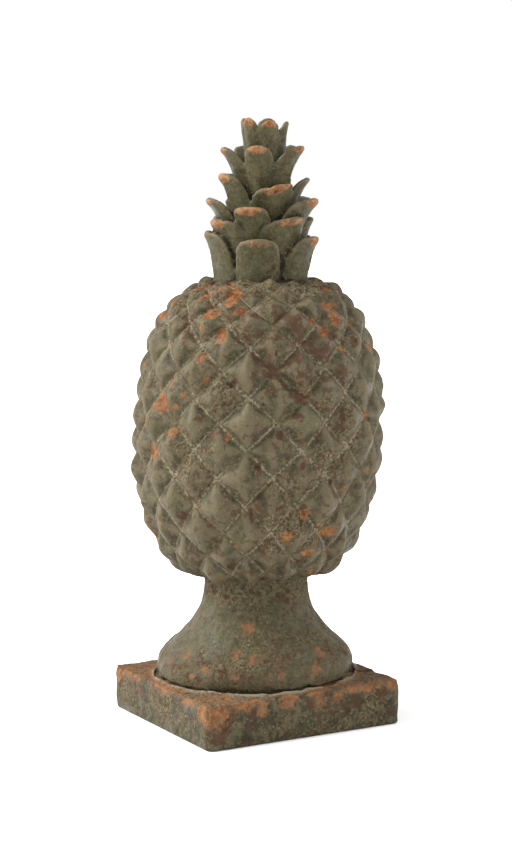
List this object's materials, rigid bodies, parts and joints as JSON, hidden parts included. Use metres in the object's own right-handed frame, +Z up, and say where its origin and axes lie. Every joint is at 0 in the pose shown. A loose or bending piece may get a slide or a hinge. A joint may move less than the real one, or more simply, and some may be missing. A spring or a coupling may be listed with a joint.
{
  "type": "pineapple ornament",
  "caption": "Clay pineapple finial on a waisted foot and a square plinth, with raised diamonds and a crown of curled leaves.",
  "frame": {"origin": "centre of the plinth's flat underside", "axes": "+Z up through the crown, +X and +Y square to the plinth's sides; the front looks along the corner between -X and -Y, 28 degrees off -Y"},
  "size_m": [0.1424, 0.1426, 0.3303],
  "materials": {
    "slip_coated_clay": "satin olive-grey slip, worn to bare orange clay on tips and edges, pale dust in the grooves"
  },
  "bodies": {
    "root": {"pineapple_ornament": "slip_coated_clay"}
  },
  "joints": []
}
